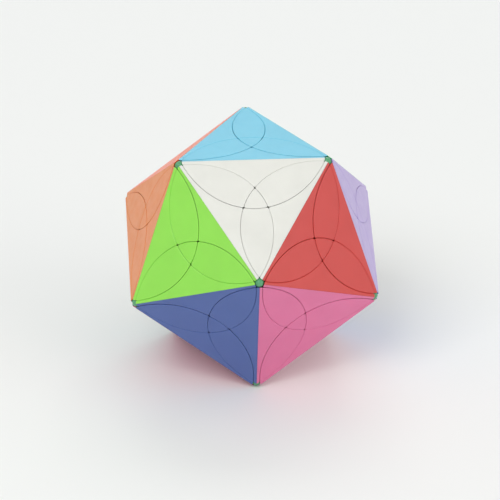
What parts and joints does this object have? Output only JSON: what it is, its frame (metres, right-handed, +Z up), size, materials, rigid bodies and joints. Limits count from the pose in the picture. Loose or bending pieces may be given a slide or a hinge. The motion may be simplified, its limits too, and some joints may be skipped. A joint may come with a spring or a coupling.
{
  "type": "icosahedron twisty puzzle",
  "caption": "Stickerless icosahedral twisty puzzle: petal, centre and edge pieces turn about edge axes on a ball-tipped core.",
  "frame": {"origin": "centre of the bottom face, on the surface the puzzle rests on", "axes": "+Z up through the centre of the top face; +X along the front edge of the top face; -Y towards the front vertex"},
  "size_m": [0.0728, 0.0828, 0.068],
  "materials": {
    "core_green": "satin moulded plastic",
    "sky_blue": "satin moulded plastic, coloured in the mass",
    "screw_steel": "bright steel",
    "white": "satin moulded plastic, coloured in the mass",
    "red": "satin moulded plastic, coloured in the mass",
    "lavender": "satin moulded plastic, coloured in the mass",
    "pink": "satin moulded plastic, coloured in the mass",
    "pale_pink": "satin moulded plastic, coloured in the mass",
    "dark_blue": "satin moulded plastic, coloured in the mass",
    "magenta": "satin moulded plastic, coloured in the mass",
    "lime_green": "satin moulded plastic, coloured in the mass",
    "orange": "satin moulded plastic, coloured in the mass",
    "coral": "satin moulded plastic, coloured in the mass",
    "grey": "satin moulded plastic, coloured in the mass",
    "olive": "satin moulded plastic, coloured in the mass",
    "brown": "satin moulded plastic, coloured in the mass",
    "green": "satin moulded plastic, coloured in the mass",
    "yellow": "satin moulded plastic, coloured in the mass",
    "violet": "satin moulded plastic, coloured in the mass",
    "petrol": "satin moulded plastic, coloured in the mass",
    "mid_blue": "satin moulded plastic, coloured in the mass",
    "purple": "satin moulded plastic, coloured in the mass"
  },
  "bodies": {
    "core": {"core": "core_green", "screw_AB": "screw_steel", "screw_BI": "screw_steel", "screw_IH": "screw_steel", "screw_HG": "screw_steel", "screw_GA": "screw_steel", "edge_CA": "lime_green", "edge_CB": "red", "edge_CI": "pink", "edge_CH": "dark_blue", "edge_CG": "dark_blue", "petal_ABC_C": "white", "petal_ACG_C": "lime_green", "petal_BCI_C": "red", "petal_CIH_C": "pink", "petal_CHG_C": "dark_blue", "belt": "green", "rear_star": "brown"},
    "turn_AB": {"edge_AB": "sky_blue", "centre_ABD": "sky_blue", "petal_ABD_A": "sky_blue", "petal_ABD_B": "sky_blue", "centre_ABC": "white", "petal_ABC_A": "white", "petal_ABC_B": "white"},
    "turn_BI": {"edge_BI": "red", "centre_BCI": "red", "petal_BCI_B": "red", "petal_BCI_I": "red", "centre_BIF": "lavender", "petal_BIF_B": "lavender", "petal_BIF_I": "lavender"},
    "turn_IH": {"edge_IH": "pink", "centre_CIH": "pink", "petal_CIH_I": "pink", "petal_CIH_H": "pink", "centre_IHL": "pale_pink", "petal_IHL_I": "pale_pink", "petal_IHL_H": "pale_pink"},
    "turn_HG": {"edge_HG": "dark_blue", "centre_CHG": "dark_blue", "petal_CHG_H": "dark_blue", "petal_CHG_G": "dark_blue", "centre_GHK": "magenta", "petal_GHK_H": "magenta", "petal_GHK_G": "magenta"},
    "turn_GA": {"edge_GA": "lime_green", "centre_ACG": "lime_green", "petal_ACG_G": "lime_green", "petal_ACG_A": "lime_green", "centre_AGE": "orange", "petal_AGE_G": "orange", "petal_AGE_A": "orange"},
    "turn_DE": {"layer_DE": "coral"},
    "turn_EK": {"layer_EK": "grey"},
    "turn_KL": {"layer_KL": "olive"},
    "turn_LF": {"layer_LF": "brown"},
    "turn_FD": {"layer_FD": "green"}
  },
  "joints": [
    {"name": "turn_AB", "type": "hinge", "parent": "core", "child": "turn_AB", "pos_m": [0, 0, 0.03401], "axis": [0, -0.3568, 0.9342], "continuous": true},
    {"name": "turn_BI", "type": "hinge", "parent": "core", "child": "turn_BI", "pos_m": [0, 0, 0.03401], "axis": [0.809, -0.4671, 0.3568], "continuous": true},
    {"name": "turn_IH", "type": "hinge", "parent": "core", "child": "turn_IH", "pos_m": [0, 0, 0.03401], "axis": [0.5, -0.6455, -0.5774], "continuous": true},
    {"name": "turn_HG", "type": "hinge", "parent": "core", "child": "turn_HG", "pos_m": [0, 0, 0.03401], "axis": [-0.5, -0.6455, -0.5774], "continuous": true},
    {"name": "turn_GA", "type": "hinge", "parent": "core", "child": "turn_GA", "pos_m": [0, 0, 0.03401], "axis": [-0.809, -0.4671, 0.3568], "continuous": true},
    {"name": "turn_DE", "type": "hinge", "parent": "core", "child": "turn_DE", "pos_m": [0, 0, 0.03401], "axis": [-0.5, 0.6455, 0.5774], "continuous": true},
    {"name": "turn_EK", "type": "hinge", "parent": "core", "child": "turn_EK", "pos_m": [0, 0, 0.03401], "axis": [-0.809, 0.4671, -0.3568], "continuous": true},
    {"name": "turn_KL", "type": "hinge", "parent": "core", "child": "turn_KL", "pos_m": [0, 0, 0.03401], "axis": [0, 0.3568, -0.9342], "continuous": true},
    {"name": "turn_LF", "type": "hinge", "parent": "core", "child": "turn_LF", "pos_m": [0, 0, 0.03401], "axis": [0.809, 0.4671, -0.3568], "continuous": true},
    {"name": "turn_FD", "type": "hinge", "parent": "core", "child": "turn_FD", "pos_m": [0, 0, 0.03401], "axis": [0.5, 0.6455, 0.5774], "continuous": true}
  ]
}
